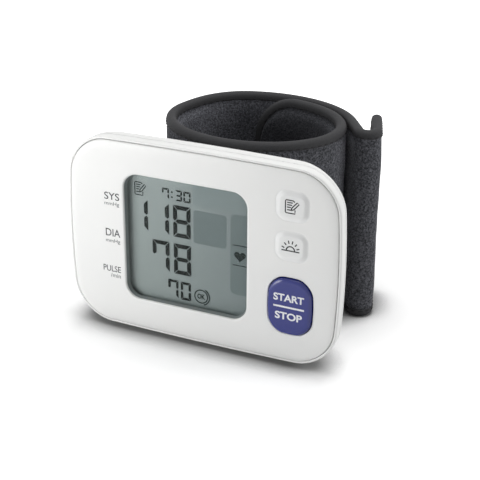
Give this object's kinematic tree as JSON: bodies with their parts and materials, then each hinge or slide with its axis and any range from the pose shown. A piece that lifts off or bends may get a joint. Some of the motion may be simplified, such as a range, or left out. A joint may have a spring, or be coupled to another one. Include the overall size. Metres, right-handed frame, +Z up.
{
  "type": "wrist blood pressure monitor",
  "caption": "Slim wrist blood pressure monitor: a rounded display unit with push buttons and a sliding battery cover, on a wrap-round fabric cuff that swings open.",
  "frame": {"origin": "on the ground below the middle of the whole monitor's bounding box, which stands on the cuff's lower edge", "axes": "+X to the user's right across the display, +Y away from the user through the cuff, +Z up along the wrist opening"},
  "size_m": [0.091, 0.0678, 0.0647],
  "materials": {
    "white_shell": "fine satin white ABS",
    "clear_window": "clear glossy acrylic",
    "lcd": "grey-green liquid crystal glass",
    "grey_plastic": "moulded grey plastic",
    "black_rubber": "matt black rubber",
    "circuit_board": "green solder resist",
    "blue_button": "satin dark blue plastic",
    "white_key": "soft white rubber",
    "steel": "bright plated steel",
    "silicone": "translucent silicone",
    "cell_sleeve": "plain dark printed sleeve",
    "curler_sheet": "springy plastic sheet",
    "bladder_film": "soft air-tight film",
    "loop_cloth": "charcoal loop pile",
    "lining_cloth": "charcoal brushed lining",
    "binding_tape": "dark grey satin binding tape"
  },
  "bodies": {
    "monitor": {"front_cover": "white_shell", "side_frame": "white_shell", "rear_case": "white_shell", "display_window": "clear_window", "lcd_panel": "lcd", "lcd_holder": "grey_plastic", "zebra_strip": "black_rubber", "main_board": "circuit_board", "start_switch": "grey_plastic", "morning_switch": "grey_plastic", "memory_switch": "grey_plastic", "pump_motor": "steel", "pump_head": "black_rubber", "exhaust_valve": "steel", "pressure_sensor": "grey_plastic", "air_nipple": "white_shell", "pump_line": "silicone", "valve_line": "silicone", "battery_1": "cell_sleeve", "battery_2": "cell_sleeve", "contact_top_1": "steel", "contact_top_2": "steel", "contact_bottom_1": "steel", "contact_bottom_2": "steel", "case_screw_1": "steel", "case_screw_2": "steel", "case_screw_3": "steel", "case_screw_4": "steel", "saddle_screw_1": "steel", "saddle_screw_2": "steel", "saddle_screw_3": "steel", "saddle_screw_4": "steel", "cuff_saddle": "grey_plastic", "cuff_fabric": "loop_cloth", "cuff_curler": "curler_sheet", "cuff_bladder": "bladder_film", "cuff_lining": "lining_cloth", "cuff_binding_top": "binding_tape", "cuff_binding_bottom": "binding_tape"},
    "start_button": {"start_button": "blue_button"},
    "morning_button": {"morning_button": "white_key"},
    "memory_button": {"memory_button": "white_key"},
    "battery_cover": {"battery_cover": "white_shell"},
    "wrap": {"wrap_fabric": "loop_cloth", "wrap_pad": "lining_cloth", "wrap_binding_top": "binding_tape", "wrap_binding_bottom": "binding_tape"},
    "tail": {"tail_fabric": "loop_cloth", "tail_hook_pad": "lining_cloth", "tail_binding_top": "binding_tape", "tail_binding_bottom": "binding_tape"}
  },
  "joints": [
    {"name": "start_press", "type": "slide", "parent": "monitor", "child": "start_button", "axis": [0, 1, 0], "range_m": [0, 0.0006], "stiffness_N_per_m": 3300},
    {"name": "morning_press", "type": "slide", "parent": "monitor", "child": "morning_button", "axis": [0, 1, 0], "range_m": [0, 0.0006], "stiffness_N_per_m": 2500},
    {"name": "memory_press", "type": "slide", "parent": "monitor", "child": "memory_button", "axis": [0, 1, 0], "range_m": [0, 0.0006], "stiffness_N_per_m": 2500},
    {"name": "battery_cover_slide", "type": "slide", "parent": "monitor", "child": "battery_cover", "axis": [-1, 0, 0], "range_m": [0, 0.025]},
    {"name": "wrap_open", "type": "hinge", "parent": "monitor", "child": "wrap", "pos_m": [-0.02764, 0.00814, 0.032], "axis": [0, 0, 1], "range_deg": [0, 70], "stiffness_Nm_per_rad": 0.05},
    {"name": "tail_peel", "type": "hinge", "parent": "wrap", "child": "tail", "pos_m": [0.03019, 0.01927, 0.032], "axis": [0, 0, 1], "range_deg": [0, 50], "stiffness_Nm_per_rad": 0.01}
  ]
}
